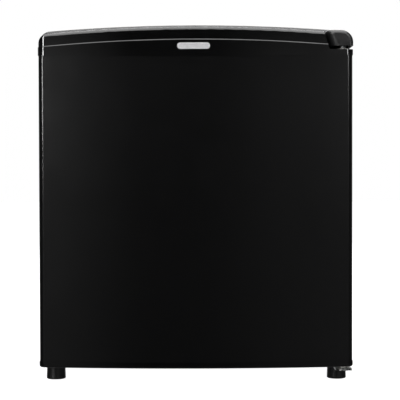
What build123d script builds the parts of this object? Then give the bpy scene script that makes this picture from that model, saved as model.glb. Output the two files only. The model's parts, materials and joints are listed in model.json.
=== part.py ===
from build123d import *
import math
import os

# Single-door cube fridge of about 50 litres. Millimetres, +Z up, the door faces -Y, and the origin
# is on the floor under the middle of the whole appliance.

# Overall
HEIGHT = 512.0
WORKTOP_HALF = 225.0
WORKTOP_FRONT = -177.5
WORKTOP_SKIRT = 481.0
PLASTIC_WALL = 2.5

# Cabinet shell
CABINET_HALF = 220.0
CABINET_FRONT = -172.0
CABINET_BACK = 190.0
CABINET_BOTTOM = 22.0
CABINET_TOP = 486.0
SHEET = 0.8
FLANGE = 14.0

# Compressor bay, open at the rear
BAY_FRONT = 50.0
BAY_TOP = 184.0

# Cold space, whose floor steps up over the compressor bay
CAVITY_HALF = 185.0
CAVITY_BACK = 150.0
CAVITY_FLOOR = 60.0
CAVITY_TOP = 448.0
STEP_FRONT = 16.0
STEP_TOP = 215.0
LINER = 1.5
UPPER_SHELF_Z = 229.0
LOWER_SHELF_Z = 156.0
LEDGE_DEPTH = 7.0

# Door
DOOR_HALF = 221.6
DOOR_FRONT = -228.8
DOOR_REAR = -183.5
DOOR_BOW_RADIUS = 1612.0
DOOR_CORNER = 8.0
CAP_PROUD = 1.1
CAP_PROUD_FRONT = 0.8
CAP_CORNER = 11.0
DOOR_BOTTOM = 25.4
LOWER_SEAM = 33.2
UPPER_SEAM = 464.0
SEAM_RISE = 2.6
COLLAR = 10.0
COLLAR_WALL = 2.0

# Arch shared by the worktop and the door's top cap: it falls by ARCH_DROP at ARCH_AT from the middle
ARCH_DROP = 8.0
ARCH_AT = 205.0
CAP_TOP = 505.0
CREASE_DROP = 17.0
CREASE_ROUND = 1.4

# Door liner and its bins
LINER_FACE = -182.0
LINER_HALF = 218.5
LINER_BOTTOM = 30.0
LINER_TOP = 476.0
RIB_HALF = 176.0
RIB_INNER = 168.0
RIB_FACE = -158.0
RIB_BOTTOM = 66.0
RIB_TOP = 428.0

# Door hinge line, and the notch of the top cap that it works in
HINGE_X = 209.0
HINGE_Y = -198.0
PIN_RADIUS = 4.0
PIN_CLEARANCE = 0.05
BUSH_RADIUS = 7.0
BUSH_FLANGE = 1.5
SHOULDER_GAP = 0.1
BOSS_RADIUS = 9.4
NOTCH_FLOOR = 474.0
NOTCH_WALL_LOW = 188.5
NOTCH_WALL_HIGH = 179.0
COVER_BOTTOM = 479.0
COVER_FRONT = -214.5
COVER_TOP_LEFT = 502.0
COVER_TOP_RIGHT = 500.6
BRACKET = 2.5
LOWER_BRACKET_Z = 19.0
TOP_SCREWS = ((203.0, -150.0), (203.0, -126.0))
BOTTOM_SCREWS = ((195.0, -119.0), (212.0, -119.0))

# Gasket
GASKET_HALF = 209.0
GASKET_BOTTOM = 36.0
GASKET_TOP = 474.0
GASKET_WIDTH = 17.0
GASKET_FACE = -172.3

# Feet
FOOT_X = 205.0
FOOT_Y = -148.0
FOOT_RADIUS = 14.0
FOOT_TOP_RADIUS = 13.3
FOOT_HEIGHT = 18.4
STUD_RADIUS = 4.0
STUD_LENGTH = 22.0
INSERT_RADIUS = 6.5
REAR_FOOT_X = 190.0
REAR_FOOT_Y = 160.0

# Freezer box
FREEZER_LEFT = -175.0
FREEZER_RIGHT = 95.0
FREEZER_FRONT = -50.0
FREEZER_BACK = 140.0
FREEZER_BOTTOM = 340.0
FREEZER_TOP = 442.0
FREEZER_WALL = 1.6
FRAME_FRONT = -62.0
FLAP_Y = -58.0
FLAP_Z = 436.0
FLAP_HALF_THICK = 2.5
FLAP_LENGTH = 90.0
FLAP_PIN = 2.0

# Thermostat
DIAL_X = 145.0
DIAL_Z = 422.0
DIAL_RADIUS = 19.0
HOUSING_FRONT = -60.0
SPINDLE_RADIUS = 3.0

# Compressor
COMPRESSOR_X = 70.0
COMPRESSOR_Y = 118.0
COMPRESSOR_RADIUS = 56.0
LEG_Z = 40.0
LEG_THICK = 3.0
BOLT_SPACING = 50.0
RELAY_X = COMPRESSOR_X - COMPRESSOR_RADIUS
GLAND_X = RELAY_X - 19.0
GLAND_Z = 96.0

# Refrigerant tubes
TUBE_RADIUS = 2.38
SUCTION_RADIUS = 4.0
CAPILLARY_RADIUS = 1.1
DRIER_X = -180.0
DRIER_Y = 170.0
DRIER_TOP = 104.0
DRIER_BOTTOM = 46.0
SUCTION_HOLE = (150.0, 170.0)
CAPILLARY_HOLE = (-144.0, 170.0)

# Condenser: wires welded to both sides of a serpentine tube
CONDENSER_Y = 226.1
CONDENSER_LEFT = -180.0
CONDENSER_RIGHT = 172.0
RISER_X = 190.0
CONDENSER_TOP = 440.0
CONDENSER_PITCH = 38.0
CONDENSER_RUNS = 7
WIRE_RADIUS = 0.75
WIRE_PITCH = 15.0
WIRES = 22


# Shape helpers

def block(x0, x1, y0, y1, z0, z1):
    """Box between two opposite corners."""
    return Pos((x0 + x1) / 2, (y0 + y1) / 2, (z0 + z1) / 2) * Box(x1 - x0, y1 - y0, z1 - z0)


def rod(start, direction, radius, length):
    """Cylinder that begins at a point and runs along a direction."""
    base = (Align.CENTER, Align.CENTER, Align.MIN)
    return Plane(origin=start, z_dir=direction) * Cylinder(radius, length, align=base)


def upright(x, y, z0, z1, radius):
    """Vertical cylinder between two heights."""
    return rod((x, y, z0), (0, 0, 1), radius, z1 - z0)


def cone(x, y, z0, z1, radius_low, radius_high):
    """Vertical cone between two heights."""
    base = (Align.CENTER, Align.CENTER, Align.MIN)
    return Pos(x, y, z0) * Cone(radius_low, radius_high, z1 - z0, align=base)


def front_prism(edges, y0, y1):
    """Closed outline in the XZ plane, extruded from y0 to y1."""
    return extrude(Pos(0, y0, 0) * make_face(edges), amount=y1 - y0, dir=(0, 1, 0))


def side_prism(points, x0, x1):
    """Polygon of (y, z) points, extruded from x0 to x1."""
    outline = Polyline(*[(x0, y, z) for y, z in points], close=True)
    return extrude(make_face(outline), amount=x1 - x0, dir=(1, 0, 0))


def frame_block(half, z0, z1, width, y0, y1):
    """Rectangular frame that faces along Y, centred on x = 0."""
    outer = block(-half, half, y0, y1, z0, z1)
    return outer - block(-half + width, half - width, y0, y1, z0 + width, z1 - width)


def tube_along(points, radii, radius):
    """Round bar along straight runs joined by tangent arcs."""
    path = FilletPolyline(*points, radius=radii)
    start = Plane(origin=path @ 0, z_dir=path % 0)
    return sweep(start * Circle(radius), path=path)


def grouped(pieces):
    """One node that holds several separate solids."""
    return Compound(children=[solid for piece in pieces for solid in piece.solids()])


def arc_height(x, middle, drop, at):
    """Height at x of an arc that falls by drop at a distance of at from its middle."""
    radius = (at * at + drop * drop) / (2 * drop)
    return middle - radius + math.sqrt(radius * radius - x * x)


# Outlines of the door and of the arch

def bow_y(x, inset):
    """Front of the door at x, on a curve moved inwards by inset."""
    radius = DOOR_BOW_RADIUS - inset
    return DOOR_FRONT + DOOR_BOW_RADIUS - math.sqrt(radius * radius - x * x)


def door_block(inset, corner, z0, z1, rear=DOOR_REAR, front_inset=None):
    """Plan of the door, moved inwards by inset, as a solid between two heights."""
    depth = inset if front_inset is None else front_inset
    half = DOOR_HALF - inset
    side = bow_y(half, depth)
    bow = ThreePointArc((-half, side), (0, bow_y(0, depth)), (half, side))
    rest = Polyline((half, side), (half, rear), (-half, rear), (-half, side))
    plan = make_face(bow.edges() + rest.edges())
    plan = fillet(plan.vertices().sort_by(Axis.Y)[:2], corner)
    return extrude(Pos(0, 0, z0) * plan, amount=z1 - z0, dir=(0, 0, 1))


def cap_block(z0, z1):
    """Plan of the door caps, which stand a little proud of the skin."""
    return door_block(-CAP_PROUD, CAP_CORNER, z0, z1, front_inset=-CAP_PROUD_FRONT)


def cap_hollow(z0, z1):
    """Space inside the walls of a door cap."""
    inset = PLASTIC_WALL - CAP_PROUD
    corner = CAP_CORNER - PLASTIC_WALL
    return door_block(inset, corner, z0, z1, DOOR_REAR - PLASTIC_WALL, PLASTIC_WALL - CAP_PROUD_FRONT)


def collar_block(z0, z1):
    """Wall of a cap that slips inside the end of the skin."""
    rear = DOOR_REAR - SHEET
    outer = door_block(SHEET, DOOR_CORNER - SHEET, z0, z1, rear)
    inset = SHEET + COLLAR_WALL
    return outer - door_block(inset, DOOR_CORNER - inset, z0, z1, rear - COLLAR_WALL)


def above_seam(lift, top):
    """Everything between the upper edge of the skin, raised by lift, and a height."""
    half = DOOR_HALF + 10
    side = UPPER_SEAM + SEAM_RISE + lift
    seam = ThreePointArc((-half, 0, side), (0, 0, UPPER_SEAM + lift), (half, 0, side))
    rest = Polyline((half, 0, side), (half, 0, top), (-half, 0, top), (-half, 0, side))
    return front_prism(seam.edges() + rest.edges(), -260, -160)


def below_arch(half, middle, floor, y0, y1, corner=0.0):
    """Everything under the arch, with rounded upper corners."""
    side = arc_height(half, middle, ARCH_DROP, ARCH_AT)
    arch = ThreePointArc((-half, 0, side), (0, 0, middle), (half, 0, side))
    rest = Polyline((half, 0, side), (half, 0, floor), (-half, 0, floor), (-half, 0, side))
    solid = front_prism(arch.edges() + rest.edges(), y0, y1)
    if corner:
        ends = [e for e in solid.edges().filter_by(Axis.Y) if e.center().Z > floor + 1]
        solid = fillet(ends, corner)
    return solid


# Cabinet

def cabinet_shell():
    """Painted sheet bent over both sides and the top, with its front edge turned in."""
    half = CABINET_HALF
    top = CABINET_TOP
    outer = block(-half, half, CABINET_FRONT, CABINET_BACK, CABINET_BOTTOM, top)
    inner = half - SHEET
    hollow = block(-inner, inner, CABINET_FRONT + SHEET, CABINET_BACK, 0, top - SHEET)
    mouth = block(-half + FLANGE, half - FLANGE, CABINET_FRONT, CABINET_FRONT + SHEET, 0, top - FLANGE)
    return outer - hollow - mouth - [upright(x, y, top - 2, top + 2, 2.0) for x, y in TOP_SCREWS]


def bottom_plate():
    """Galvanised sheet under the cabinet, up the front of the compressor bay and over it."""
    half = CABINET_HALF - SHEET
    front = CABINET_FRONT + SHEET
    points = [
        (front, CABINET_BOTTOM),
        (BAY_FRONT, CABINET_BOTTOM),
        (BAY_FRONT, BAY_TOP),
        (CABINET_BACK, BAY_TOP),
        (CABINET_BACK, BAY_TOP + SHEET),
        (BAY_FRONT - SHEET, BAY_TOP + SHEET),
        (BAY_FRONT - SHEET, CABINET_BOTTOM + SHEET),
        (front, CABINET_BOTTOM + SHEET),
    ]
    inner = CABINET_HALF - FLANGE
    lip = block(-inner, inner, CABINET_FRONT, front, CABINET_BOTTOM, CABINET_BOTTOM + FLANGE)
    holes = [upright(x, FOOT_Y, 0, 60, INSERT_RADIUS) for x in (-FOOT_X, FOOT_X)]
    holes += [upright(x, y, 0, 60, 2.0) for x, y in BOTTOM_SCREWS]
    holes += [upright(x, y, 170, 200, 7.0) for x, y in (SUCTION_HOLE, CAPILLARY_HOLE)]
    return side_prism(points, -half, half) + lip - holes


def back_panel():
    half = CABINET_HALF - SHEET
    panel = block(-half, half, CABINET_BACK - SHEET, CABINET_BACK, BAY_TOP + SHEET, CABINET_TOP - SHEET)
    return panel - [rod((x, CABINET_BACK - 2, z), (0, 1, 0), 1.6, 4) for x, z in bracket_places()]


def cavity_block(grow):
    """The cold space as a solid, grown outwards by grow."""
    half = CAVITY_HALF + grow
    points = [
        (CABINET_FRONT, CAVITY_FLOOR - grow),
        (STEP_FRONT + grow, CAVITY_FLOOR - grow),
        (STEP_FRONT + grow, STEP_TOP - grow),
        (CAVITY_BACK + grow, STEP_TOP - grow),
        (CAVITY_BACK + grow, CAVITY_TOP + grow),
        (CABINET_FRONT, CAVITY_TOP + grow),
    ]
    solid = side_prism(points, -half, half)
    ends = [e for e in solid.edges().filter_by(Axis.X) if e.center().Y > CABINET_FRONT + 1]
    solid = fillet(ends, 14)
    rims = [e for e in solid.edges() if abs(abs(e.center().X) - half) < 0.01]
    return fillet([e for e in rims if e.center().Y > CABINET_FRONT + 1], 8)


def shelf_ledges():
    """Ribs formed in the side walls of the liner, under the shelves."""
    pieces = []
    for z, y_end in ((UPPER_SHELF_Z, 130), (LOWER_SHELF_Z, STEP_FRONT - 4)):
        for side in (-1, 1):
            x0, x1 = sorted((side * (CAVITY_HALF - LEDGE_DEPTH), side * (CAVITY_HALF + 1)))
            pieces.append(block(x0, x1, -120, y_end, z - 9, z - 3.2))
    return pieces


def inner_liner():
    """White formed lining of the cold space, with a flange on the cabinet front."""
    half = CABINET_HALF - FLANGE
    low = CABINET_BOTTOM + FLANGE
    high = CABINET_TOP - FLANGE
    flange = block(-half, half, CABINET_FRONT, CABINET_FRONT + LINER, low, high)
    lining = cavity_block(LINER) + flange - cavity_block(0) + shelf_ledges()
    return lining - suction_tube() - capillary_tube()


def foam_box():
    """The whole inside of the cabinet walls, over the compressor bay."""
    half = CABINET_HALF - SHEET
    front = CABINET_FRONT + SHEET
    points = [
        (front, CABINET_BOTTOM + SHEET),
        (BAY_FRONT - SHEET, CABINET_BOTTOM + SHEET),
        (BAY_FRONT - SHEET, BAY_TOP + SHEET),
        (CABINET_BACK - SHEET, BAY_TOP + SHEET),
        (CABINET_BACK - SHEET, CABINET_TOP - SHEET),
        (front, CABINET_TOP - SHEET),
    ]
    return side_prism(points, -half, half)


def cabinet_insulation():
    """Foam between the sheet metal and the liner, formed around what is buried in it."""
    half = CABINET_HALF - FLANGE
    low = CABINET_BOTTOM + FLANGE
    high = CABINET_TOP - FLANGE
    flange = block(-half, half, CABINET_FRONT, CABINET_FRONT + LINER, low, high)
    wells = [upright(x, FOOT_Y, 20, 55, 10.0) for x in (-FOOT_X, FOOT_X)]
    wells += [upright(x, y, 20, 30, 2.0) for x, y in BOTTOM_SCREWS]
    wells += [upright(x, y, 180, 192, 10.0) for x, y in (SUCTION_HOLE, CAPILLARY_HOLE)]
    foam = foam_box() - cavity_block(LINER) - flange - wells - reinforcing_block()
    return foam - suction_tube() - capillary_tube()


def reinforcing_block():
    top = CABINET_TOP - SHEET
    return block(186, CABINET_HALF - SHEET, -162, -114, top - 3, top)


def reinforcing_plate():
    """Steel plate foamed in under the top sheet, which the top hinge is screwed to."""
    return reinforcing_block() - [upright(x, y, 470, 500, 2.0) for x, y in TOP_SCREWS]


def worktop_ribs():
    """Ribs under the worktop, which rest on the cabinet's top sheet."""
    front = WORKTOP_FRONT + 1
    back = CABINET_BACK - 1
    half = WORKTOP_HALF - 1
    ribs = [block(x - 1, x + 1, front, back, CABINET_TOP, HEIGHT) for x in (-180, -90, 0, 90)]
    ribs += [block(-half, half, y - 1, y + 1, CABINET_TOP, HEIGHT) for y in (-90, 10, 110)]
    grid = ribs[0] + ribs[1:]
    return grid & below_arch(half, HEIGHT - 1, CABINET_TOP, front, back, 16)


def worktop():
    """Crowned plastic top, with a skirt around the upper edge of the cabinet."""
    wall = PLASTIC_WALL
    outer = below_arch(WORKTOP_HALF, HEIGHT, WORKTOP_SKIRT, WORKTOP_FRONT, CABINET_BACK, 18)
    rim = [e for e in outer.edges() if abs(e.center().Y - WORKTOP_FRONT) < 0.01]
    outer = fillet([e for e in rim if e.center().Z > WORKTOP_SKIRT + 1], 4)
    hollow = below_arch(
        WORKTOP_HALF - wall, HEIGHT - wall, 0, WORKTOP_FRONT + wall, CABINET_BACK - wall, 15
    )
    body = outer - hollow + worktop_ribs()
    cabinet = block(-CABINET_HALF, CABINET_HALF, CABINET_FRONT, CABINET_BACK, 0, CABINET_TOP)
    slot = block(HINGE_X - 11, HINGE_X + 11, WORKTOP_FRONT - 1, CABINET_FRONT, 0, 492)
    return body - cabinet - slot


def cover_body(gap, rear, end_round, front_round):
    """Outline of the hinge cover, moved inwards by gap, as a solid with rounded edges."""
    front = COVER_FRONT + gap
    left_low = NOTCH_WALL_LOW + 1.5 + gap
    left_high = NOTCH_WALL_HIGH + 2.5 + gap
    right = WORKTOP_HALF - 2.5 - gap
    top_left = COVER_TOP_LEFT - gap
    top_right = COVER_TOP_RIGHT - gap
    sides = Polyline((left_high, 0, top_left), (left_low, 0, COVER_BOTTOM), (right, 0, COVER_BOTTOM))
    shoulder = Polyline((right, 0, COVER_BOTTOM), (right, 0, top_right), (left_high, 0, top_left))
    solid = front_prism(sides.edges() + shoulder.edges(), front, rear)
    end = [e for e in solid.edges().filter_by(Axis.Y) if e.center().X > 215 and e.center().Z > 495]
    solid = fillet(end, end_round)
    slant = [e for e in solid.edges() if abs(e.center().Y - front) < 0.01 and e.center().X < left_low]
    solid = fillet([e for e in slant if e.length > 15], 14.5 - gap)
    edges = [e for e in solid.edges() if abs(e.center().Y - front) < 0.01]
    return fillet([e for e in edges if e.center().Z > COVER_BOTTOM + 1 and e.center().X > 198], front_round)


def hinge_cover():
    """Hollow cover over the top hinge, level with the door front, open below and behind."""
    rear = WORKTOP_FRONT - 0.1
    return cover_body(0.0, rear, 17.0, 5.0) - cover_body(2.0, rear + 1, 15.0, 3.0)


def top_hinge_bracket():
    z0 = CABINET_TOP
    z1 = z0 + BRACKET
    arm = block(HINGE_X - 9, HINGE_X + 9, HINGE_Y, -168, z0, z1)
    plate = block(192, 218, -168, -112, z0, z1)
    holes = [upright(x, y, z0 - 1, z1 + 1, 2.1) for x, y in TOP_SCREWS]
    holes.append(upright(HINGE_X, HINGE_Y, z0 - 1, z1 + 1, PIN_RADIUS))
    return arm + plate + upright(HINGE_X, HINGE_Y, z0, z1, 9) - holes


def top_hinge_pin():
    top = CABINET_TOP + BRACKET
    return upright(HINGE_X, HINGE_Y, 456, top, PIN_RADIUS) + upright(HINGE_X, HINGE_Y, top, top + 1.5, 6)


def bottom_hinge_bracket():
    """Zinc plated plate under the cabinet, with an arm that reaches out under the door."""
    z0 = LOWER_BRACKET_Z
    z1 = CABINET_BOTTOM
    plate = block(186, 219, -168, -108, z0, z1)
    arm = block(198, 221.4, HINGE_Y, -168, z0, z1)
    nose = upright(HINGE_X, HINGE_Y, z0, z1, 11)
    tip = block(HINGE_X, 221.4, HINGE_Y - 8, HINGE_Y, z0, z1)
    holes = [upright(x, y, z0 - 1, z1 + 1, 2.1) for x, y in BOTTOM_SCREWS]
    holes.append(upright(FOOT_X, FOOT_Y, z0 - 1, z1 + 1, STUD_RADIUS + 1))
    holes.append(upright(HINGE_X, HINGE_Y, z0 - 1, z1 + 1, PIN_RADIUS))
    return plate + arm + nose + tip - holes


def bottom_hinge_pin():
    """Pin with a shoulder that carries the door."""
    pin = upright(HINGE_X, HINGE_Y, LOWER_BRACKET_Z, 43, PIN_RADIUS)
    shoulder_top = DOOR_BOTTOM - BUSH_FLANGE - SHOULDER_GAP
    return pin + upright(HINGE_X, HINGE_Y, CABINET_BOTTOM, shoulder_top, 7)


def screw(point, direction, length, head_radius=4.0, shank=2.0):
    """Cross-head screw: its head sits on a surface at point, and its shank runs along direction."""
    back = tuple(-d for d in direction)
    head = rod(point, back, head_radius, 2.4)
    head = fillet(head.faces().sort_by(Axis(point, back))[-1].edges(), 1.2)
    floor = tuple(p + 1.2 * b for p, b in zip(point, back))
    return head - rod(floor, back, 1.1, 3) + rod(point, direction, shank, length)


def hinge_screws():
    top = [screw((x, y, CABINET_TOP + BRACKET), (0, 0, -1), BRACKET + 3.6) for x, y in TOP_SCREWS]
    low = [screw((x, y, LOWER_BRACKET_Z), (0, 0, 1), 10.0) for x, y in BOTTOM_SCREWS]
    return grouped(top + low)


def front_foot(side):
    """Levelling foot: a fluted plastic base moulded on a stud that screws into the cabinet."""
    x = side * FOOT_X
    base = cone(x, FOOT_Y, 0, FOOT_HEIGHT, FOOT_RADIUS, FOOT_TOP_RADIUS)
    base = fillet(base.faces().sort_by(Axis.Z)[0].edges(), 1.6)
    return base + upright(x, FOOT_Y, FOOT_HEIGHT, FOOT_HEIGHT + STUD_LENGTH, STUD_RADIUS)


def foot_inserts():
    """Flanged sleeves in the cabinet floor that take the studs of the feet."""
    sleeves = []
    for x in (-FOOT_X, FOOT_X):
        sleeve = upright(x, FOOT_Y, CABINET_BOTTOM, 50, INSERT_RADIUS)
        flange = upright(x, FOOT_Y, CABINET_BOTTOM + SHEET, 55, 10)
        sleeves.append(sleeve + flange - upright(x, FOOT_Y, 0, 49, STUD_RADIUS + PIN_CLEARANCE))
    return grouped(sleeves)


def rear_feet():
    feet = []
    for x in (-REAR_FOOT_X, REAR_FOOT_X):
        foot = cone(x, REAR_FOOT_Y, 0, CABINET_BOTTOM, 13, 12)
        feet.append(fillet(foot.faces().sort_by(Axis.Z)[0].edges(), 1.5))
    return grouped(feet)


# Compressor bay

def bolt_places():
    steps = (-BOLT_SPACING, BOLT_SPACING)
    return [(COMPRESSOR_X + dx, COMPRESSOR_Y + dy) for dx in steps for dy in steps]


def compressor_tray():
    """Steel floor of the bay, turned up at the back and both ends, with cooling slots."""
    half = CABINET_HALF - SHEET
    z0 = CABINET_BOTTOM
    z1 = z0 + 14
    plate = block(-half, half, BAY_FRONT, CABINET_BACK, z0, z0 + 2)
    lips = [
        block(-half, half, CABINET_BACK - 2, CABINET_BACK, z0, z1),
        block(-half, -half + 2, BAY_FRONT, CABINET_BACK, z0, z1),
        block(half - 2, half, BAY_FRONT, CABINET_BACK, z0, z1),
    ]
    slots = [block(x - 3, x + 3, 66, 78, z0 - 1, z0 + 3) for x in range(-190, 0, 18)]
    holes = [upright(x, y, z0 - 1, z0 + 3, 3.0) for x, y in bolt_places()]
    return plate + lips - slots - holes


def compressor_shell():
    """Welded steel can with a rounded top and bottom and a weld seam."""
    can = upright(COMPRESSOR_X, COMPRESSOR_Y, 38, 154, COMPRESSOR_RADIUS)
    can = fillet(can.edges().filter_by(GeomType.CIRCLE), 24)
    seam = upright(COMPRESSOR_X, COMPRESSOR_Y, 96, 100, COMPRESSOR_RADIUS + 2)
    below_legs = block(0, 140, 40, 190, 30, LEG_Z + LEG_THICK)
    return can + seam - below_legs


def compressor_legs():
    """Pressed plate under the can, with a mounting hole at each corner."""
    reach = BOLT_SPACING + 11
    x, y = COMPRESSOR_X, COMPRESSOR_Y
    plate = block(x - reach, x + reach, y - reach, y + reach, LEG_Z, LEG_Z + LEG_THICK)
    plate = fillet(plate.edges().filter_by(Axis.Z), 10)
    return plate - [upright(px, py, 30, 50, 6.0) for px, py in bolt_places()]


def compressor_grommets():
    """Rubber mounts that pass through the legs."""
    floor = CABINET_BOTTOM + 2
    top = LEG_Z + LEG_THICK
    mounts = []
    for x, y in bolt_places():
        mount = upright(x, y, floor, LEG_Z, 9) + upright(x, y, LEG_Z, top, 6) + upright(x, y, top, top + 3, 8)
        mounts.append(mount - upright(x, y, 0, 60, 3.0))
    return grouped(mounts)


def hexagon(x, y, z0, z1, radius):
    return extrude(Pos(x, y, z0) * RegularPolygon(radius, 6), amount=z1 - z0, dir=(0, 0, 1))


def compressor_bolts():
    """Hexagon bolts through the tray and the grommets, each with a washer and a nut."""
    low = CABINET_BOTTOM
    top = LEG_Z + LEG_THICK + 3
    bolts = []
    for x, y in bolt_places():
        bolt = hexagon(x, y, low - 4, low, 5.5) + upright(x, y, low, top + 8, 3.0)
        bolts.append(bolt + upright(x, y, top, top + 1.5, 7) + hexagon(x, y, top + 1.5, top + 6, 5.5))
    return grouped(bolts)


def terminal_cover():
    """Box over the compressor's terminals, with a hole for the supply cable at the rear."""
    outer = block(RELAY_X - 34, RELAY_X + 8, 98, 146, 66, 126)
    outer = fillet(outer.edges().filter_by(Axis.Z), 3)
    inner = block(RELAY_X - 32, RELAY_X + 9, 100, 144, 68, 124)
    can = upright(COMPRESSOR_X, COMPRESSOR_Y, 30, 160, COMPRESSOR_RADIUS)
    seam = upright(COMPRESSOR_X, COMPRESSOR_Y, 96, 100, COMPRESSOR_RADIUS + 2)
    return outer - inner - can - seam - rod((GLAND_X, 143, GLAND_Z), (0, 1, 0), 6.5, 6)


def cable_gland():
    """Flanged rubber ring in the terminal cover, for the supply cable."""
    start = (GLAND_X, 141.5, GLAND_Z)
    outside = (GLAND_X, 146.0, GLAND_Z)
    barrel = rod(start, (0, 1, 0), 6.5, 7.0)
    flanges = rod(start, (0, 1, 0), 8.5, 2.5) + rod(outside, (0, 1, 0), 8.5, 2.5)
    return barrel + flanges - rod((GLAND_X, 140, GLAND_Z), (0, 1, 0), 3.6, 20)


def start_relay():
    body = block(RELAY_X - 28, RELAY_X - 4, 104, 138, 68, 88)
    posts = [upright(RELAY_X - 10, y, 88, 102, 3) for y in (112, 121, 130)]
    return body + posts


def suction_tube():
    """Return line from the freezer box, down the rear foam and into the compressor."""
    x, y = SUCTION_HOLE
    points = [
        (COMPRESSOR_X + 46, COMPRESSOR_Y, 118),
        (x, COMPRESSOR_Y, 118),
        (x, y, 118),
        (x, y, 415),
        (80, y, 415),
        (80, FREEZER_BACK, 415),
    ]
    tube = tube_along(points, [20, 28, 32, 24], SUCTION_RADIUS)
    return tube - upright(COMPRESSOR_X, COMPRESSOR_Y, 60, 140, COMPRESSOR_RADIUS)


def capillary_tube():
    """Fine tube from the drier, coiled in the bay, then up the rear foam to the freezer box."""
    x, y = CAPILLARY_HOLE
    points = [
        (DRIER_X, DRIER_Y, DRIER_BOTTOM + 6),
        (DRIER_X, DRIER_Y, 32),
        (-60, DRIER_Y, 32),
        (-60, 92, 36),
        (-150, 92, 40),
        (-150, 162, 44),
        (-68, 162, 48),
        (-68, 100, 52),
        (x, 100, 56),
        (x, y, 60),
        (x, y, 415),
        (x, FREEZER_BACK, 415),
    ]
    radii = [12, 25, 25, 25, 25, 25, 25, 25, 22, 22]
    return tube_along(points, radii, CAPILLARY_RADIUS)


def tube_grommets():
    """Rubber rings where the two tubes pass through the roof of the bay."""
    rings = []
    for (x, y), radius in ((SUCTION_HOLE, SUCTION_RADIUS), (CAPILLARY_HOLE, CAPILLARY_RADIUS)):
        ring = upright(x, y, BAY_TOP - 2, BAY_TOP, 10) + upright(x, y, BAY_TOP, BAY_TOP + SHEET, 7)
        ring += upright(x, y, BAY_TOP + SHEET, 192, 10)
        rings.append(ring - upright(x, y, 170, 200, radius))
    return grouped(rings)


def discharge_tube():
    """Hot line from the compressor, out of the bay and across to the condenser's riser."""
    points = [
        (100, 158, 92),
        (100, CONDENSER_Y, 92),
        (RISER_X, CONDENSER_Y, 92),
        (RISER_X, CONDENSER_Y, 190),
    ]
    tube = tube_along(points, [25, 25], TUBE_RADIUS)
    return tube - upright(COMPRESSOR_X, COMPRESSOR_Y, 60, 140, COMPRESSOR_RADIUS)


def process_tube():
    """Short charging stub on the compressor, pinched shut at its end."""
    points = [(COMPRESSOR_X - 20, 160, 120), (COMPRESSOR_X - 20, 184, 120), (COMPRESSOR_X - 20, 184, 146)]
    tube = tube_along(points, [14], 3.0)
    pinch = block(COMPRESSOR_X - 24, COMPRESSOR_X - 16, 182.8, 185.2, 140, 150)
    return tube + pinch - upright(COMPRESSOR_X, COMPRESSOR_Y, 60, 140, COMPRESSOR_RADIUS)


def filter_drier():
    """Fat copper capsule between the condenser and the capillary tube."""
    low, high = DRIER_BOTTOM, DRIER_TOP
    body = upright(DRIER_X, DRIER_Y, low + 12, high - 12, 8)
    ends = cone(DRIER_X, DRIER_Y, low, low + 12, 2.4, 8) + cone(DRIER_X, DRIER_Y, high - 12, high, 8, 3.4)
    return body + ends - upright(DRIER_X, DRIER_Y, low - 2, low + 8, CAPILLARY_RADIUS)


def condenser_tube():
    """Riser, serpentine and outlet of the condenser, down to the drier."""
    y = CONDENSER_Y
    points = [(RISER_X, y, 190), (RISER_X, y, CONDENSER_TOP)]
    for run in range(CONDENSER_RUNS):
        z = CONDENSER_TOP - run * CONDENSER_PITCH
        ends = (CONDENSER_RIGHT, CONDENSER_LEFT) if run % 2 == 0 else (CONDENSER_LEFT, CONDENSER_RIGHT)
        points += [(x, y, z) for x in ends]
    del points[2]
    points += [(CONDENSER_LEFT, y, 132), (DRIER_X, DRIER_Y, 132), (DRIER_X, DRIER_Y, DRIER_TOP)]
    radii = [CONDENSER_PITCH / 2 - 1] * (len(points) - 2)
    return tube_along(points, radii, TUBE_RADIUS)


def condenser_wires():
    reach = TUBE_RADIUS + WIRE_RADIUS
    wires = []
    for index in range(WIRES):
        x = (index - (WIRES - 1) / 2) * WIRE_PITCH
        for y in (CONDENSER_Y - reach, CONDENSER_Y + reach):
            wires.append(upright(x, y, 198, 456, WIRE_RADIUS))
    return grouped(wires)


def bracket_places():
    return [(x, z) for x in (-135, 135) for z in (265, 387)]


def nearest_run(z):
    """Height of the condenser run that is nearest to z."""
    runs = [CONDENSER_TOP - index * CONDENSER_PITCH for index in range(CONDENSER_RUNS)]
    return min(runs, key=lambda height: abs(height - z))


def condenser_brackets():
    """Plastic stand-offs that clip around a tube run and are screwed to the back panel."""
    brackets = []
    for x, z in bracket_places():
        pad = block(x - 10, x + 10, CABINET_BACK, CABINET_BACK + 4, z - 10, z + 10)
        run = nearest_run(z)
        clip = block(x - 3, x + 3, CABINET_BACK + 4, CONDENSER_Y + 3.8, run - 7, run + 7)
        clip -= rod((x - 5, CONDENSER_Y, run), (1, 0, 0), TUBE_RADIUS, 10)
        link = block(x - 3, x + 3, CABINET_BACK, CABINET_BACK + 6, min(run, z) - 7, max(run, z) + 7)
        brackets.append(pad + link + clip - rod((x, CABINET_BACK - 1, z), (0, 1, 0), 1.6, 30))
    return grouped(brackets)


def rear_screws():
    return grouped([screw((x, CABINET_BACK + 6, z), (0, -1, 0), 6.8, 3.2, 1.6) for x, z in bracket_places()])


# Freezer box and what hangs in the cold space

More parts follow.
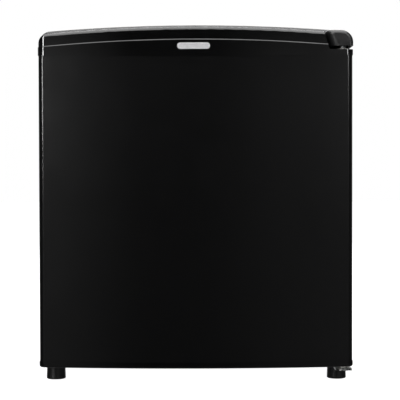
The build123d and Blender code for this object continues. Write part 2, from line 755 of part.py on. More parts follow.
def evaporator_box():
    """Aluminium freezer box whose refrigerant channel is blown up as a ridge on its underside."""
    outer = block(
        FREEZER_LEFT, FREEZER_RIGHT, FREEZER_FRONT, FREEZER_BACK, FREEZER_BOTTOM, FREEZER_TOP
    )
    outer = fillet(outer.edges().filter_by(Axis.Y), 8)
    wall = FREEZER_WALL
    inner = block(
        FREEZER_LEFT + wall, FREEZER_RIGHT - wall, FREEZER_FRONT, FREEZER_BACK - wall,
        FREEZER_BOTTOM + wall, FREEZER_TOP - wall,
    )
    inner = fillet(inner.edges().filter_by(Axis.Y), 8 - wall)
    points = []
    for run in range(5):
        y = -28 + run * 36
        ends = (-150, 70) if run % 2 == 0 else (70, -150)
        points += [(x, y, FREEZER_BOTTOM) for x in ends]
    channel = tube_along(points, [17] * (len(points) - 2), 2.6)
    holes = [upright(x, y, FREEZER_TOP - 5, FREEZER_TOP + 2, 2.0) for x, y in spacer_places()]
    return outer + channel - inner - holes


def spacer_places():
    return [(x, y) for x in (-140, 60) for y in (-20, 110)]


def evaporator_spacers():
    """Plastic spacers between the freezer box and the ceiling of the liner."""
    rings = [upright(x, y, FREEZER_TOP, CAVITY_TOP, 8) for x, y in spacer_places()]
    return grouped([r - upright(x, y, 400, 460, 2.0) for r, (x, y) in zip(rings, spacer_places())])


def evaporator_screws():
    low = FREEZER_TOP - FREEZER_WALL
    return grouped([screw((x, y, low), (0, 0, 1), CAVITY_TOP - low) for x, y in spacer_places()])


def freezer_frame():
    """Plastic frame around the mouth of the freezer box, with pivot holes for the flap."""
    outer = block(FREEZER_LEFT - 6, FREEZER_RIGHT + 6, FRAME_FRONT, FREEZER_FRONT, 336.5, CAVITY_TOP - 1)
    outer = fillet(outer.edges().filter_by(Axis.Y), 4)
    inner = block(FREEZER_LEFT + 2, FREEZER_RIGHT - 2, FRAME_FRONT - 1, FREEZER_FRONT + 1, 343, 440)
    pivot = rod((FREEZER_LEFT - 3, FLAP_Y, FLAP_Z), (1, 0, 0), FLAP_PIN + PIN_CLEARANCE, 276)
    return outer - inner - pivot


def freezer_flap():
    """Door of the freezer box: hangs from two stub pins at its top edge and swings up."""
    x0 = FREEZER_LEFT + 3
    x1 = FREEZER_RIGHT - 3
    half = FLAP_HALF_THICK
    panel = block(x0, x1, FLAP_Y - half, FLAP_Y + half, FLAP_Z - FLAP_LENGTH, FLAP_Z)
    panel += rod((x0, FLAP_Y, FLAP_Z), (1, 0, 0), half, x1 - x0)
    dish = block(x0 + 12, x1 - 12, FLAP_Y - half, FLAP_Y - half + 1.5, FLAP_Z - 76, FLAP_Z - 14)
    lip = block(-80, 0, FLAP_Y - half - 5, FLAP_Y - half, FLAP_Z - FLAP_LENGTH, FLAP_Z - FLAP_LENGTH + 3)
    pins = rod((x0 - 3, FLAP_Y, FLAP_Z), (1, 0, 0), FLAP_PIN, x1 - x0 + 6)
    return panel - dish + lip + pins


def tray_rails():
    """Channels under the freezer box that carry the chiller tray."""
    rails = []
    for wall, inward in ((FREEZER_LEFT + 8, 1), (FREEZER_RIGHT - 8, -1)):
        x0, x1 = sorted((wall, wall + inward * 2.5))
        web = block(x0, x1, FREEZER_FRONT + 1, 128, 327, FREEZER_BOTTOM)
        x0, x1 = sorted((wall, wall + inward * 8))
        rails.append(web + block(x0, x1, FREEZER_FRONT + 1, 128, 327, 329.5))
    return grouped(rails)


def chiller_tray():
    """Open tray under the freezer box. Its side lips run on the rails."""
    x0 = FREEZER_LEFT + 17
    x1 = FREEZER_RIGHT - 17
    outer = block(x0, x1, -58, 126, 312, 332)
    outer = fillet(outer.edges().filter_by(Axis.Z), 6)
    lips = block(x0 - 5.5, x1 + 5.5, -48, 124, 330, 332)
    front = block(x0 - 8, x1 + 8, -64, -58, 309, 334)
    inner = block(x0 + 2, x1 - 2, -56, 124, 314, 333)
    return outer + lips + front - inner


def thermostat_housing():
    """Plastic housing fixed under the ceiling beside the freezer box."""
    outer = block(108, CAVITY_HALF - 1, HOUSING_FRONT, 60, 398, CAVITY_TOP)
    outer = fillet([e for e in outer.edges() if e.center().Z < 399 or abs(e.center().Z - 423) < 1], 5)
    inner = block(110, CAVITY_HALF - 3, HOUSING_FRONT + 2, 58, 400, CAVITY_TOP + 1)
    hole = rod((DIAL_X, HOUSING_FRONT - 1, DIAL_Z), (0, 1, 0), 5, 5)
    exit_hole = rod((106, 25, 430), (1, 0, 0), 1.6, 8)
    return outer - inner - hole - exit_hole & cavity_block(0)


def thermostat_body():
    """Switch body behind the dial, with a bush for the spindle."""
    box = block(DIAL_X - 18, DIAL_X + 18, -40, 32, 406, 438)
    bush = rod((DIAL_X, -58, DIAL_Z), (0, 1, 0), 4.8, 19)
    bore = rod((DIAL_X, -59, DIAL_Z), (0, 1, 0), SPINDLE_RADIUS + PIN_CLEARANCE, 30)
    return box + bush - bore


def thermostat_spindle():
    return rod((DIAL_X, -72, DIAL_Z), (0, 1, 0), SPINDLE_RADIUS, 40)


def thermostat_knob():
    """Dial with a grip bar across its face."""
    back = HOUSING_FRONT - 1.0
    disc = rod((DIAL_X, back, DIAL_Z), (0, -1, 0), DIAL_RADIUS, 8)
    disc = fillet(disc.faces().sort_by(Axis.Y)[0].edges(), 1.5)
    grip = block(DIAL_X - 4, DIAL_X + 4, back - 17, back - 7, DIAL_Z - 16, DIAL_Z + 16)
    grip = fillet(grip.edges().filter_by(Axis.Y), 3)
    return disc + grip - rod((DIAL_X, -72, DIAL_Z), (0, 1, 0), SPINDLE_RADIUS, 40)


def sensor_tube():
    """Sensing tube from the thermostat to the side of the freezer box."""
    points = [(DIAL_X - 18, 25, 430), (FREEZER_RIGHT + 1.2, 25, 430), (FREEZER_RIGHT + 1.2, 120, 430)]
    return tube_along(points, [14], 1.1)


def wire_shelf(z, y0, y1):
    """Shelf of welded wires inside a heavier rim."""
    half = CAVITY_HALF - 3.5
    middle = (y0 + y1) / 2
    rim_plane = Pos(0, middle, z) * RectangleRounded(2 * half - 5, y1 - y0 - 5, 12)
    rim = rim_plane.wires()[0]
    shelf = sweep(Plane(origin=rim @ 0, z_dir=rim % 0) * Circle(2.5), path=rim)
    bars = [rod((-half + 2.5, y, z), (1, 0, 0), 2.0, 2 * half - 5) for y in (y0 + 30, y1 - 30)]
    wires = []
    count = 24
    for index in range(1, count):
        x = -half + 2.5 + index * (2 * half - 5) / count
        wires.append(rod((x, y0 + 2.5, z + 2.2), (0, 1, 0), 1.3, y1 - y0 - 5))
    return shelf + bars + wires


# Door

def door_skin():
    """Bowed steel sheet: front, both sides and a narrow return behind each side."""
    outer = door_block(0, DOOR_CORNER, LOWER_SEAM, 480)
    hollow = door_block(SHEET, DOOR_CORNER - SHEET, LOWER_SEAM, 480, DOOR_REAR - SHEET)
    clear = DOOR_HALF - 10
    opening = block(-clear, clear, DOOR_REAR - SHEET, DOOR_REAR, LOWER_SEAM, 480)
    return (outer - hollow - opening) - above_seam(0, 520)


def notch_block(grow):
    """Clearance for the hinge cover at the hinge end of the top cap, grown by grow."""
    floor = NOTCH_FLOOR - grow
    slope = (NOTCH_WALL_LOW - NOTCH_WALL_HIGH) / (CAP_TOP - NOTCH_FLOOR)
    top = 530.0
    left_top = NOTCH_WALL_LOW - slope * (top - NOTCH_FLOOR) - grow
    corners = [
        (NOTCH_WALL_LOW - grow, 0, floor),
        (240, 0, floor),
        (240, 0, top),
        (left_top, 0, top),
    ]
    return front_prism(Polyline(*corners, close=True).edges(), -250, -150)


def cap_room():
    """Space inside the top cap, before its floor over the notch and its ledge are taken off."""
    under = below_arch(DOOR_HALF - 2.2, CAP_TOP - PLASTIC_WALL, 400, -260, -160, 12)
    return cap_hollow(440, 520) & under


def top_cap_outside():
    """Two bands of the top cap: the lower one stands proud, so that a ledge runs across it."""
    ledge = below_arch(DOOR_HALF + 5, CAP_TOP - CREASE_DROP, 400, -260, -160)
    lower = cap_block(455, 520) & ledge
    crease = [e for e in lower.edges() if e.center().Z > 470 and e.center().Y < DOOR_REAR - 1]
    lower = fillet(crease, CREASE_ROUND)
    upper = door_block(-0.4, CAP_CORNER - 1, 455, 520, front_inset=0.9)
    upper &= below_arch(DOOR_HALF + 30, CAP_TOP, 400, -260, -160)
    brow = [e for e in upper.edges() if e.center().Z > 480 and e.center().Y < DOOR_REAR - 1]
    upper = fillet(brow, 4.5) & below_arch(DOOR_HALF + 0.4, CAP_TOP, 400, -260, -160, 15)
    return lower + upper


def door_top_cap():
    """Glossy arched cap with a hollow inside, a notch for the hinge cover and a boss for the bush."""
    inner_upper = door_block(3.4, 7, 440, 520, DOOR_REAR - PLASTIC_WALL)
    band = cap_hollow(478, 520) - inner_upper
    hollow = cap_room() - notch_block(PLASTIC_WALL) - band
    shell = (top_cap_outside() - hollow - notch_block(0)) & above_seam(0, 520)
    collar = (collar_block(450, 480) - above_seam(3, 520)) & above_seam(-COLLAR, 520)
    boss = upright(HINGE_X, HINGE_Y, 450, NOTCH_FLOOR, BOSS_RADIUS)
    bore = upright(HINGE_X, HINGE_Y, 440, 490, BUSH_RADIUS)
    return shell + collar + boss - bore - badge_plate()


def badge_plate():
    """Blank rounded plate let into the lower band of the top cap."""
    front = DOOR_FRONT - CAP_PROUD_FRONT - 0.4
    place = Plane(origin=(-2.4, front, 478), x_dir=(1, 0, 0), z_dir=(0, -1, 0))
    return extrude(place * SlotOverall(46, 9), amount=-1.2)


def door_bottom_cap():
    """Tray-shaped cap under the door, with a collar inside the skin and a boss for the pin."""
    outer = cap_block(DOOR_BOTTOM, LOWER_SEAM)
    low = outer.faces().sort_by(Axis.Z)[0].edges()
    outer = fillet([e for e in low if e.center().Y < DOOR_REAR - 1], 3.0)
    hollow = cap_hollow(DOOR_BOTTOM + PLASTIC_WALL, 60)
    collar = collar_block(LOWER_SEAM - 3, LOWER_SEAM + COLLAR)
    boss = upright(HINGE_X, HINGE_Y, DOOR_BOTTOM, 50, BOSS_RADIUS)
    return outer - hollow + collar + boss - upright(HINGE_X, HINGE_Y, 0, 60, BUSH_RADIUS)


def door_bushes():
    """Flanged nylon bushes in both ends of the door."""
    top = upright(HINGE_X, HINGE_Y, 450, NOTCH_FLOOR, BUSH_RADIUS)
    top += upright(HINGE_X, HINGE_Y, NOTCH_FLOOR, NOTCH_FLOOR + BUSH_FLANGE, 9)
    low = upright(HINGE_X, HINGE_Y, DOOR_BOTTOM, 50, BUSH_RADIUS)
    low += upright(HINGE_X, HINGE_Y, DOOR_BOTTOM - BUSH_FLANGE, DOOR_BOTTOM, 9)
    radius = PIN_RADIUS + PIN_CLEARANCE
    top -= upright(HINGE_X, HINGE_Y, 453, 490, radius)
    low -= upright(HINGE_X, HINGE_Y, 20, 47, radius)
    return grouped([top, low])


def rib_blocks(inset):
    """The two upright ribs of the door liner, as solids moved inwards by inset."""
    x0 = RIB_INNER + inset
    x1 = RIB_HALF - inset
    y1 = RIB_FACE - inset
    z0 = RIB_BOTTOM + inset
    z1 = RIB_TOP - inset
    return [block(a, b, DOOR_REAR, y1, z0, z1) for a, b in ((-x1, -x0), (x0, x1))]


def door_liner():
    plate = block(-LINER_HALF, LINER_HALF, DOOR_REAR, LINER_FACE, LINER_BOTTOM, LINER_TOP)
    return plate + rib_blocks(0) - rib_blocks(LINER)


def door_insulation():
    """Foam that fills the door between the skin, the caps and the liner."""
    room = door_block(SHEET, DOOR_CORNER - SHEET, LOWER_SEAM, 462)
    low = cap_hollow(DOOR_BOTTOM + PLASTIC_WALL, LOWER_SEAM + 1)
    top = cap_room() & block(-300, 300, -300, -100, 461, 520)
    foam = room + low + top - door_skin() - door_top_cap() - door_bottom_cap() - notch_block(0)
    bores = [upright(HINGE_X, HINGE_Y, z0, z1, BUSH_RADIUS) for z0, z1 in ((20, 50), (450, 480))]
    return foam - bores + rib_blocks(LINER)


def door_gasket():
    """Soft seal: a foot on the door liner, a narrow bellows, and a head that holds the magnets."""
    low, high, half = GASKET_BOTTOM, GASKET_TOP, GASKET_HALF
    foot = frame_block(half, low, high, GASKET_WIDTH, LINER_FACE, LINER_FACE + 2)
    neck = frame_block(half - 3, low + 3, high - 3, GASKET_WIDTH - 6, LINER_FACE + 2, LINER_FACE + 4)
    head = frame_block(half, low, high, GASKET_WIDTH, LINER_FACE + 4, GASKET_FACE)
    return foot + neck + head - magnet_bars()


def magnet_bars():
    """Four strips inside the head of the gasket."""
    y0 = LINER_FACE + 5.5
    y1 = y0 + 2.6
    inset = 4.0
    width = 9.0
    half = GASKET_HALF - inset
    low = GASKET_BOTTOM + inset
    high = GASKET_TOP - inset
    return [
        block(-half + width, half - width, y0, y1, low, low + width),
        block(-half + width, half - width, y0, y1, high - width, high),
        block(-half, -half + width, y0, y1, low + width + 1, high - width - 1),
        block(half - width, half, y0, y1, low + width + 1, high - width - 1),
    ]


def gasket_magnets():
    return grouped(magnet_bars())


def door_bin(z0, z1, front):
    """Open bin between the ribs of the door liner."""
    wall = 2.5
    half = RIB_INNER
    outer = block(-half, half, LINER_FACE, front, z0, z1)
    outer = fillet([e for e in outer.edges().filter_by(Axis.Z) if e.center().Y > front - 1], 14)
    inner = block(-half + wall, half - wall, LINER_FACE + wall, front - wall, z0 + wall, z1 + 1)
    inner = fillet([e for e in inner.edges().filter_by(Axis.Z) if e.center().Y > front - 5], 11.5)
    window = block(-half + 30, half - 30, front - 5, front + 1, z0 + 22, z1 - 12)
    return outer - inner - window


NODES = {
    "cabinet_shell": cabinet_shell,
    "bottom_plate": bottom_plate,
    "back_panel": back_panel,
    "cabinet_insulation": cabinet_insulation,
    "inner_liner": inner_liner,
    "reinforcing_plate": reinforcing_plate,
    "worktop": worktop,
    "hinge_cover": hinge_cover,
    "top_hinge_bracket": top_hinge_bracket,
    "top_hinge_pin": top_hinge_pin,
    "bottom_hinge_bracket": bottom_hinge_bracket,
    "bottom_hinge_pin": bottom_hinge_pin,
    "hinge_screws": hinge_screws,
    "front_left_foot": lambda: front_foot(-1),
    "front_right_foot": lambda: front_foot(1),
    "foot_inserts": foot_inserts,
    "rear_feet": rear_feet,
    "compressor_tray": compressor_tray,
    "compressor_shell": compressor_shell,
    "compressor_legs": compressor_legs,
    "compressor_grommets": compressor_grommets,
    "compressor_bolts": compressor_bolts,
    "terminal_cover": terminal_cover,
    "cable_gland": cable_gland,
    "start_relay": start_relay,
    "suction_tube": suction_tube,
    "capillary_tube": capillary_tube,
    "tube_grommets": tube_grommets,
    "discharge_tube": discharge_tube,
    "process_tube": process_tube,
    "filter_drier": filter_drier,
    "condenser_tube": condenser_tube,
    "condenser_wires": condenser_wires,
    "condenser_brackets": condenser_brackets,
    "rear_screws": rear_screws,
    "evaporator_box": evaporator_box,
    "evaporator_spacers": evaporator_spacers,
    "evaporator_screws": evaporator_screws,
    "freezer_frame": freezer_frame,
    "freezer_flap": freezer_flap,
    "tray_rails": tray_rails,
    "chiller_tray": chiller_tray,
    "thermostat_housing": thermostat_housing,
    "thermostat_body": thermostat_body,
    "thermostat_spindle": thermostat_spindle,
    "thermostat_knob": thermostat_knob,
    "sensor_tube": sensor_tube,
    "upper_wire_shelf": lambda: wire_shelf(UPPER_SHELF_Z, -72, 143),
    "lower_wire_shelf": lambda: wire_shelf(LOWER_SHELF_Z, -72, 10),
    "door_skin": door_skin,
    "door_insulation": door_insulation,
    "door_liner": door_liner,
    "door_gasket": door_gasket,
    "gasket_magnets": gasket_magnets,
    "door_top_cap": door_top_cap,
    "door_bottom_cap": door_bottom_cap,
    "badge_plate": badge_plate,
    "upper_door_bin": lambda: door_bin(250, 305, -97),
    "lower_door_bin": lambda: door_bin(70, 140, -92),
    "door_bushes": door_bushes,
}

os.makedirs("parts", exist_ok=True)
for name, build in NODES.items():
    export_step(build(), f"parts/{name}.step")
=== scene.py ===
"""Looks of a single-door cube fridge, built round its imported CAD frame. Metres, +Z up, door faces -Y."""

import json
import math

import bmesh
import bpy
from mathutils import Matrix, Vector

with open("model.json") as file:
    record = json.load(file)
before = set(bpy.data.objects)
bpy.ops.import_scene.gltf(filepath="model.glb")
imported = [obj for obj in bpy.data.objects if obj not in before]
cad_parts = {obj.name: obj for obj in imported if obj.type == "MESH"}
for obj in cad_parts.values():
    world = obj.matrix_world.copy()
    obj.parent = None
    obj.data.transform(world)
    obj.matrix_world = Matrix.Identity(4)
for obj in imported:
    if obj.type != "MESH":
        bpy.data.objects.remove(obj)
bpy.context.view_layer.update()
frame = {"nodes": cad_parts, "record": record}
NODES = frame["nodes"]


# ---------------------------------------------------------------- shader helpers

NOISE_ROUGHNESS = 0.55


def node(tree, kind, **values):
    """Adds a shader node. A key that names an input sets it, and any other key is a property."""
    made = tree.nodes.new(kind)
    for key, value in values.items():
        socket = made.inputs.get(key.replace("_", " "))
        if socket is not None and not hasattr(made, key):
            socket.default_value = value
        else:
            setattr(made, key, value)
    return made


def object_point(tree, stretch=(1, 1, 1)):
    """Point of the surface in the row frame, in metres, stretched by a factor along each axis."""
    place = node(tree, "ShaderNodeTexCoord")
    mapping = node(tree, "ShaderNodeMapping")
    mapping.inputs["Scale"].default_value = stretch
    tree.links.new(place.outputs["Object"], mapping.inputs["Vector"])
    return mapping.outputs["Vector"]


def noise(tree, scale, detail=3.0, stretch=(1, 1, 1)):
    """Noise from 0 to 1 over the surface, with scale features to the metre."""
    made = node(tree, "ShaderNodeTexNoise")
    made.inputs["Scale"].default_value = scale
    made.inputs["Detail"].default_value = detail
    made.inputs["Roughness"].default_value = NOISE_ROUGHNESS
    tree.links.new(object_point(tree, stretch), made.inputs["Vector"])
    return made.outputs["Fac"]


def spread(tree, value, low, high, start=0.3, end=0.7):
    """Maps start to end, by default the usual range of a noise, onto low to high."""
    made = node(tree, "ShaderNodeMapRange")
    made.inputs["From Min"].default_value = start
    made.inputs["From Max"].default_value = end
    made.inputs["To Min"].default_value = low
    made.inputs["To Max"].default_value = high
    tree.links.new(value, made.inputs["Value"])
    return made.outputs["Result"]


def blend_colour(tree, value, first, second, first_from=None):
    """Colour between two, as value goes from 0 to 1. The first may come from another socket."""
    made = node(tree, "ShaderNodeMix", data_type="RGBA")
    low, high = (s for s in made.inputs if s.type == "RGBA")
    low.default_value = (*first, 1)
    high.default_value = (*second, 1)
    if first_from is not None:
        tree.links.new(first_from, low)
    tree.links.new(value, made.inputs["Factor"])
    return next(s for s in made.outputs if s.type == "RGBA")


def relief(tree, shader, height, depth, strength):
    """Bumps the shader's surface by height, to a depth in metres."""
    made = node(tree, "ShaderNodeBump")
    made.inputs["Strength"].default_value = strength
    made.inputs["Distance"].default_value = depth
    tree.links.new(height, made.inputs["Height"])
    tree.links.new(made.outputs["Normal"], shader.inputs["Normal"])


def material(name, **constants):
    """A Principled material, with its node tree and shader. Constants set the shader's sockets."""
    made = bpy.data.materials.new(name)
    made.use_nodes = True
    tree = made.node_tree
    shader = next(n for n in tree.nodes if n.type == "BSDF_PRINCIPLED")
    for key, value in constants.items():
        shader.inputs[key.replace("_", " ")].default_value = value
    return made, tree, shader


def finish(name, colours, colour_scale, roughness, rough_scale, grain, **constants):
    """Finish with patchy colour, patchy gloss and a fine grain.

    colours and roughness are pairs of extremes, and grain is (scale, depth, strength, stretch).
    """
    made, tree, shader = material(name, **constants)
    tree.links.new(
        blend_colour(tree, spread(tree, noise(tree, colour_scale), 0, 1), *colours),
        shader.inputs["Base Color"],
    )
    tree.links.new(
        spread(tree, noise(tree, rough_scale, 4.0), *roughness), shader.inputs["Roughness"]
    )
    scale, depth, strength, stretch = grain
    relief(tree, shader, noise(tree, scale, 2.0, stretch), depth, strength)
    return made


# ---------------------------------------------------------------- the finishes, one for each slot

EVEN = (1, 1, 1)
M = {}
M["black_steel"] = finish(
    "black_steel", ((0.0031, 0.0031, 0.0032), (0.0037, 0.0037, 0.0038)), 5.0,
    (0.15, 0.19), 35.0, (620.0, 0.00008, 0.12, EVEN), Specular_IOR_Level=0.42,
)
M["gloss_black"] = finish(
    "gloss_black", ((0.0024, 0.0024, 0.0025), (0.0032, 0.0032, 0.0033)), 7.0,
    (0.05, 0.10), 60.0, (160.0, 0.00005, 0.12, EVEN),
)
M["satin_black"] = finish(
    "satin_black", ((0.0060, 0.0060, 0.0063), (0.0090, 0.0090, 0.0093)), 9.0,
    (0.30, 0.38), 80.0, (2300.0, 0.00018, 0.25, EVEN),
)
M["zinc"] = finish(
    "zinc", ((0.60, 0.63, 0.66), (0.76, 0.76, 0.73)), 60.0,
    (0.20, 0.40), 180.0, (900.0, 0.00008, 0.25, EVEN), Metallic=1.0,
)
M["badge_silver"] = finish(
    "badge_silver", ((0.72, 0.72, 0.73), (0.80, 0.80, 0.81)), 120.0,
    (0.24, 0.38), 900.0, (1400.0, 0.00005, 0.35, (0.03, 1, 1)), Metallic=0.55,
)
M["white_liner"] = finish(
    "white_liner", ((0.835, 0.845, 0.85), (0.85, 0.858, 0.86)), 4.0,
    (0.23, 0.29), 30.0, (55.0, 0.0003, 0.05, EVEN),
)
M["white_plastic"] = finish(
    "white_plastic", ((0.80, 0.80, 0.79), (0.85, 0.85, 0.84)), 12.0,
    (0.34, 0.46), 90.0, (1700.0, 0.00012, 0.25, EVEN),
)
M["clear_plastic"] = finish(
    "clear_plastic", ((0.86, 0.93, 0.96), (0.90, 0.96, 0.98)), 10.0,
    (0.05, 0.11), 70.0, (90.0, 0.0002, 0.08, EVEN), Transmission_Weight=0.94, IOR=1.58,
)
M["foam"] = finish(
    "foam", ((0.58, 0.46, 0.22), (0.70, 0.58, 0.32)), 60.0,
    (0.80, 0.95), 200.0, (650.0, 0.0008, 0.6, EVEN),
)
M["gasket_black"] = finish(
    "gasket_black", ((0.014, 0.014, 0.0145), (0.020, 0.020, 0.0205)), 30.0,
    (0.40, 0.52), 120.0, (1200.0, 0.00015, 0.25, EVEN),
)
M["magnet"] = finish(
    "magnet", ((0.040, 0.034, 0.030), (0.060, 0.052, 0.046)), 80.0,
    (0.62, 0.78), 200.0, (1500.0, 0.0002, 0.3, EVEN),
)
M["rubber"] = finish(
    "rubber", ((0.013, 0.013, 0.013), (0.022, 0.022, 0.021)), 50.0,
    (0.62, 0.80), 160.0, (1500.0, 0.0002, 0.4, EVEN),
)
M["compressor_black"] = finish(
    "compressor_black", ((0.0065, 0.0065, 0.007), (0.011, 0.011, 0.0115)), 25.0,
    (0.16, 0.30), 60.0, (210.0, 0.0004, 0.35, EVEN), Coat_Weight=0.4, Coat_Roughness=0.12,
)
M["copper"] = finish(
    "copper", ((0.62, 0.27, 0.15), (0.83, 0.47, 0.33)), 45.0,
    (0.20, 0.42), 150.0, (700.0, 0.0001, 0.25, EVEN), Metallic=1.0,
)
M["condenser_black"] = finish(
    "condenser_black", ((0.009, 0.009, 0.0095), (0.016, 0.016, 0.016)), 40.0,
    (0.38, 0.55), 150.0, (900.0, 0.0002, 0.4, EVEN),
)
M["aluminium"] = finish(
    "aluminium", ((0.66, 0.68, 0.70), (0.78, 0.79, 0.80)), 25.0,
    (0.26, 0.42), 110.0, (800.0, 0.00012, 0.35, (0.06, 1, 1)), Metallic=1.0,
)
M["chromed_wire"] = finish(
    "chromed_wire", ((0.70, 0.71, 0.72), (0.80, 0.81, 0.81)), 70.0,
    (0.07, 0.20), 200.0, (600.0, 0.00006, 0.2, EVEN), Metallic=1.0,
)
M["nylon"] = finish(
    "nylon", ((0.72, 0.71, 0.66), (0.80, 0.79, 0.74)), 40.0,
    (0.40, 0.52), 120.0, (1300.0, 0.00015, 0.3, EVEN),
)


CRYSTALS_TO_THE_METRE = 130.0


def galvanised_sheet():
    """Hot-dip zinc: crystals of slightly different brightness and gloss, with a fine grain."""
    made, tree, shader = material("galvanised", Metallic=1.0)
    cells = node(tree, "ShaderNodeTexVoronoi")
    cells.inputs["Scale"].default_value = CRYSTALS_TO_THE_METRE
    tree.links.new(object_point(tree), cells.inputs["Vector"])
    grey = node(tree, "ShaderNodeRGBToBW")
    tree.links.new(cells.outputs["Color"], grey.inputs["Color"])
    tree.links.new(
        blend_colour(tree, grey.outputs["Val"], (0.55, 0.57, 0.59), (0.68, 0.70, 0.71)),
        shader.inputs["Base Color"],
    )
    tree.links.new(
        spread(tree, grey.outputs["Val"], 0.32, 0.44, start=0.2, end=0.8), shader.inputs["Roughness"]
    )
    relief(tree, shader, noise(tree, 900.0, 2.0), 0.0001, 0.3)
    return made


M["galvanised"] = galvanised_sheet()

# ---------------------------------------------------------------- materials on the CAD nodes

SLOT_OF = {part["node"]: part["material_slot"] for part in frame["record"]["subparts"]}


for name, obj in NODES.items():
    obj.data.materials.clear()
    obj.data.materials.append(M[SLOT_OF[name]])

# ---------------------------------------------------------------- floor

FLOOR_HALF = 9.0
FLOOR_GAP = 0.0003
FLOOR_CELLS = 8
PAPER_WHITE = (1, 1, 1, 1)

scene = bpy.context.scene
scene.view_settings.view_transform = "Standard"
scene.view_settings.look = "None"


def pale_floor():
    """Wide sheet of pale paper just under the feet, bright enough to read as white."""
    made, tree, shader = material("pale_floor", Roughness=0.9, Emission_Strength=1.0)
    shader.inputs["Emission Color"].default_value = PAPER_WHITE
    tree.links.new(
        blend_colour(tree, noise(tree, 1.5), (0.86, 0.86, 0.86), (0.88, 0.88, 0.88)),
        shader.inputs["Base Color"],
    )
    mesh = bpy.data.meshes.new("floor")
    grid = bmesh.new()
    bmesh.ops.create_grid(grid, x_segments=FLOOR_CELLS, y_segments=FLOOR_CELLS, size=FLOOR_HALF)
    bmesh.ops.translate(grid, verts=grid.verts, vec=(0, 0, -FLOOR_GAP))
    grid.to_mesh(mesh)
    grid.free()
    mesh.materials.append(made)
    obj = bpy.data.objects.new("floor", mesh)
    scene.collection.objects.link(obj)
    obj.visible_glossy = False
    return obj


floor = pale_floor()

# ---------------------------------------------------------------- studio walls

# What gloss sees to the left (-) and right (+): the sideways part of a direction, and how bright it is
SIDE_WALLS = (
    (-0.76, 0.05), (-0.62, 0.55), (-0.40, 0.55), (-0.35, 0.44), (-0.305, 0.31), (-0.23, 0.15),
    (-0.165, 0.012), (0.05, 0.010), (0.11, 0.08), (0.20, 0.20), (0.30, 0.23), (0.35, 0.34),
    (0.42, 0.45), (0.62, 0.45), (0.76, 0.05),
)
BEYOND_WALLS = 0.05
BACK_WALL = 0.3


def side_walls(tree, direction):
    """Brightness of the side walls in a direction. They dim towards the floor and end above."""
    walls = node(tree, "ShaderNodeValToRGB")
    stops = walls.color_ramp.elements
    stops[0].color = stops[-1].color = (BEYOND_WALLS, BEYOND_WALLS, BEYOND_WALLS, 1)
    for sideways, grey in SIDE_WALLS:
        stops.new((sideways + 1) / 2).color = (grey, grey, grey, 1)
    tree.links.new(spread(tree, direction.outputs["X"], 0, 1, start=-1, end=1), walls.inputs["Fac"])

    low_dim = spread(tree, direction.outputs["Z"], 0.32, 1.0, start=-0.04, end=0.07)
    high_dim = spread(tree, direction.outputs["Z"], 1.0, 0.22, start=0.078, end=0.105)
    height_dim = node(tree, "ShaderNodeMath", operation="MULTIPLY")
    tree.links.new(low_dim, height_dim.inputs[0])
    tree.links.new(high_dim, height_dim.inputs[1])
    sides = node(tree, "ShaderNodeVectorMath", operation="SCALE")
    tree.links.new(walls.outputs["Color"], sides.inputs[0])
    tree.links.new(height_dim.outputs["Value"], sides.inputs["Scale"])
    return sides.outputs["Vector"]


def studio():
    """World that is white paper to the camera, and a dark room with lit side walls to the rest."""
    world = bpy.data.worlds.new("studio")
    world.use_nodes = True
    tree = world.node_tree
    tree.nodes.clear()
    output = node(tree, "ShaderNodeOutputWorld")
    room = node(tree, "ShaderNodeBackground")
    paper = node(tree, "ShaderNodeBackground")
    paper.inputs["Color"].default_value = PAPER_WHITE
    paper.inputs["Strength"].default_value = 1.0

    place = node(tree, "ShaderNodeTexCoord")
    direction = node(tree, "ShaderNodeSeparateXYZ")
    tree.links.new(place.outputs["Generated"], direction.inputs["Vector"])
    backwards = spread(tree, direction.outputs["Y"], 0, 1, start=0.55, end=0.9)
    walls = side_walls(tree, direction)
    tree.links.new(
        blend_colour(tree, backwards, (0.0,) * 3, (BACK_WALL,) * 3, walls), room.inputs["Color"]
    )

    rays = node(tree, "ShaderNodeLightPath")
    mix = node(tree, "ShaderNodeMixShader")
    tree.links.new(rays.outputs["Is Camera Ray"], mix.inputs["Fac"])
    tree.links.new(room.outputs["Background"], mix.inputs[1])
    tree.links.new(paper.outputs["Background"], mix.inputs[2])
    tree.links.new(mix.outputs["Shader"], output.inputs["Surface"])
    return world


scene.world = studio()

# ---------------------------------------------------------------- lamps

MIDDLE = (0, -0.1, 0.27)
UNDER_OVERHEAD = (0.0, -0.45, 0.0)
OVERHEAD = (0.0, -0.45, 2.2)
OVERHEAD_SIZE = (2.4, 2.5)


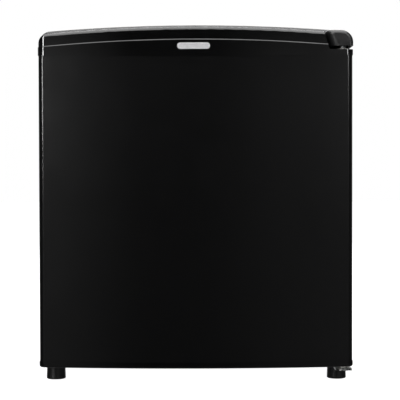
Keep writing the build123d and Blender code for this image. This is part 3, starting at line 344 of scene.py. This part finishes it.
def softbox(name, place, size, power, aim=MIDDLE, fills=True, shines=True):
    """Area light of the given width and height, turned to its aim.

    A light that only fills isn't mirrored, and one that only shines is seen in gloss alone.
    """
    lamp = bpy.data.lights.new(name, "AREA")
    lamp.shape = "RECTANGLE"
    lamp.size, lamp.size_y = size
    lamp.energy = power
    obj = bpy.data.objects.new(name, lamp)
    scene.collection.objects.link(obj)
    obj.location = place
    obj.rotation_mode = "QUATERNION"
    obj.rotation_quaternion = (Vector(aim) - Vector(place)).to_track_quat("-Z", "Y")
    obj.visible_camera = False
    obj.visible_diffuse = fills
    obj.visible_glossy = shines


softbox("overhead", OVERHEAD, OVERHEAD_SIZE, power=94, aim=UNDER_OVERHEAD, fills=False)
softbox("overhead_fill", OVERHEAD, OVERHEAD_SIZE, power=34, aim=UNDER_OVERHEAD, shines=False)
softbox("front_fill", (0.3, -3.6, 1.6), (2.0, 1.6), power=34, shines=False)
softbox("left_tall", (-1.47, -2.06, 1.16), (0.16, 1.5), power=34, aim=(-0.2, -0.2, 1.0), fills=False)
softbox("right_tall", (1.42, -2.07, 1.28), (0.12, 1.3), power=11, aim=(0.2, -0.2, 1.0), fills=False)
softbox("front_top", (0.0, -1.95, 1.85), (2.4, 0.8), power=28, aim=(0.0, -0.2, 0.5), fills=False)
softbox("rear", (0.0, 2.7, 1.5), (1.5, 1.0), power=18)

# ---------------------------------------------------------------- camera

EYE = (0.006, -2.110, 0.3124)
LENS = 121.02
SENSOR = 36.0
PITCH_DOWN = 1.517
ROLL = -0.14
NEAR = 0.05
FAR = 60

camera = bpy.data.objects.new("camera", bpy.data.cameras.new("camera"))
scene.collection.objects.link(camera)
camera.data.lens = LENS
camera.data.sensor_width = SENSOR
camera.data.clip_start = NEAR
camera.data.clip_end = FAR
camera.matrix_world = (
    Matrix.Translation(EYE)
    @ Matrix.Rotation(math.radians(90 - PITCH_DOWN), 4, "X")
    @ Matrix.Rotation(math.radians(ROLL), 4, "Z")
)
scene.camera = camera
